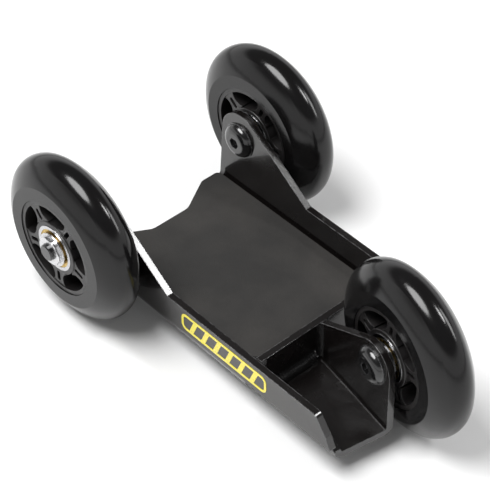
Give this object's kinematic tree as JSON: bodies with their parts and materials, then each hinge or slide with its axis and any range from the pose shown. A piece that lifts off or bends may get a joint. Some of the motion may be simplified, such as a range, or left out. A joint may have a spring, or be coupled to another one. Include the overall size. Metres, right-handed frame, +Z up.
{
  "type": "three-wheeled side stand dolly",
  "caption": "Low folded steel tray with a rubber mat that rolls on inline-skate wheels with ball bearings, for moving a parked motorcycle by its side stand.",
  "frame": {"origin": "on the ground, under the middle of the dolly's bounding box", "axes": "+X forwards from the two rear wheels to the single front wheel, +Y left, +Z up"},
  "size_m": [0.2212, 0.1454, 0.08],
  "materials": {
    "black_powder_coat": "gloss",
    "mat_rubber": "matte",
    "tyre_urethane": "gloss",
    "hub_plastic": "satin",
    "zinc_plate": "satin",
    "black_oxide": "satin",
    "bearing_steel": "polished",
    "gold_shield": "satin",
    "decal_yellow": "gloss"
  },
  "bodies": {
    "chassis": {"deck_tray": "black_powder_coat", "rubber_mat": "mat_rubber", "front_bracket": "black_powder_coat", "corner_weld_left": "black_powder_coat", "corner_weld_right": "black_powder_coat", "front_corner_weld": "black_powder_coat", "foot_weld": "black_powder_coat", "upright_weld": "black_powder_coat", "side_decal": "decal_yellow", "axle_bolt_rear_left": "black_oxide", "axle_nut_rear_left": "zinc_plate", "nut_washer_rear_left": "zinc_plate", "wheel_spacer_rear_left": "black_oxide", "bearing_sleeve_rear_left": "zinc_plate", "inner_races_rear_left": "bearing_steel", "axle_bolt_rear_right": "black_oxide", "axle_nut_rear_right": "zinc_plate", "nut_washer_rear_right": "zinc_plate", "wheel_spacer_rear_right": "black_oxide", "bearing_sleeve_rear_right": "zinc_plate", "inner_races_rear_right": "bearing_steel", "axle_bolt_front": "black_oxide", "axle_nut_front": "zinc_plate", "nut_washer_front": "zinc_plate", "wheel_spacer_front": "black_oxide", "bearing_sleeve_front": "zinc_plate", "inner_races_front": "bearing_steel"},
    "wheel_rear_left": {"tyre_rear_left": "tyre_urethane", "hub_rear_left": "hub_plastic", "outer_races_rear_left": "bearing_steel", "bearing_shields_rear_left": "gold_shield"},
    "balls_rear_left": {"ball_set_rear_left": "bearing_steel"},
    "wheel_rear_right": {"tyre_rear_right": "tyre_urethane", "hub_rear_right": "hub_plastic", "outer_races_rear_right": "bearing_steel", "bearing_shields_rear_right": "gold_shield"},
    "balls_rear_right": {"ball_set_rear_right": "bearing_steel"},
    "wheel_front": {"tyre_front": "tyre_urethane", "hub_front": "hub_plastic", "outer_races_front": "bearing_steel", "bearing_shields_front": "gold_shield"},
    "balls_front": {"ball_set_front": "bearing_steel"}
  },
  "joints": [
    {"name": "wheel_spin_rear_left", "type": "hinge", "parent": "chassis", "child": "wheel_rear_left", "pos_m": [-0.0706, 0.057, 0.04], "axis": [0, 1, 0], "continuous": true},
    {"name": "ball_orbit_rear_left", "type": "hinge", "parent": "chassis", "child": "balls_rear_left", "pos_m": [-0.0706, 0.057, 0.04], "axis": [0, 1, 0], "continuous": true},
    {"name": "wheel_spin_rear_right", "type": "hinge", "parent": "chassis", "child": "wheel_rear_right", "pos_m": [-0.0706, -0.057, 0.04], "axis": [0, 1, 0], "continuous": true},
    {"name": "ball_orbit_rear_right", "type": "hinge", "parent": "chassis", "child": "balls_rear_right", "pos_m": [-0.0706, -0.057, 0.04], "axis": [0, 1, 0], "continuous": true},
    {"name": "wheel_spin_front", "type": "hinge", "parent": "chassis", "child": "wheel_front", "pos_m": [0.07108, 0.0058, 0.04], "axis": [0.1735, 0.9848, 0.0061], "continuous": true},
    {"name": "ball_orbit_front", "type": "hinge", "parent": "chassis", "child": "balls_front", "pos_m": [0.07108, 0.0058, 0.04], "axis": [0.1735, 0.9848, 0.0061], "continuous": true}
  ],
  "couplings": [
    {"joint": "ball_orbit_rear_left", "follows": "wheel_spin_rear_left", "ratio": 0.6323},
    {"joint": "ball_orbit_rear_right", "follows": "wheel_spin_rear_right", "ratio": 0.6323},
    {"joint": "ball_orbit_front", "follows": "wheel_spin_front", "ratio": 0.6323}
  ]
}
